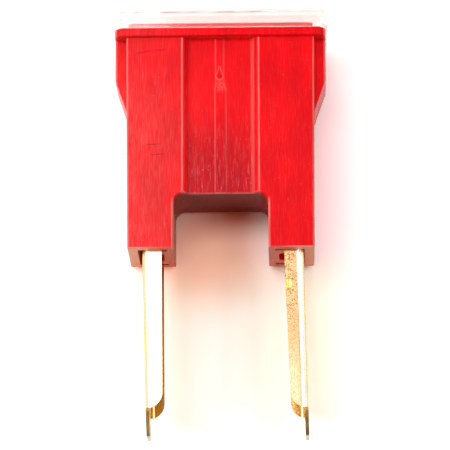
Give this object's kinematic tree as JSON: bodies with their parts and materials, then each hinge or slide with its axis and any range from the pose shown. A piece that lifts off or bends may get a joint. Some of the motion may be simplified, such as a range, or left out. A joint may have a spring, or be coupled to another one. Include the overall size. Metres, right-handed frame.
{
  "type": "automotive cartridge fuse",
  "caption": "Plug-in cartridge fuse with a moulded red housing, a clear snap cover and straight folded brass blades, for a vehicle fuse box.",
  "frame": {"origin": "middle of the bounding box in X and Y, at the level of the lowest face: the back of the clear cover, which the fuse lies on", "axes": "+X across the fuse from the left blade to the right blade, +Y from the blade tips to the clear cover, +Z out of the grooved front face, up when the fuse lies on its back"},
  "size_m": [0.0306, 0.061, 0.0134],
  "materials": {
    "housing_red": "moulded red thermoplastic, satin gloss with fine scuffs along its length",
    "cover_clear": "clear moulded polycarbonate",
    "blade_brass": "rolled and stamped brass sheet, bright",
    "link_alloy": "thin stamped copper alloy strip",
    "pellet_tin": "dull cast tin"
  },
  "bodies": {
    "root": {"housing": "housing_red", "cover": "cover_clear", "left_blade": "blade_brass", "right_blade": "blade_brass", "fusible_link": "link_alloy", "tin_pellet": "pellet_tin"}
  },
  "joints": []
}
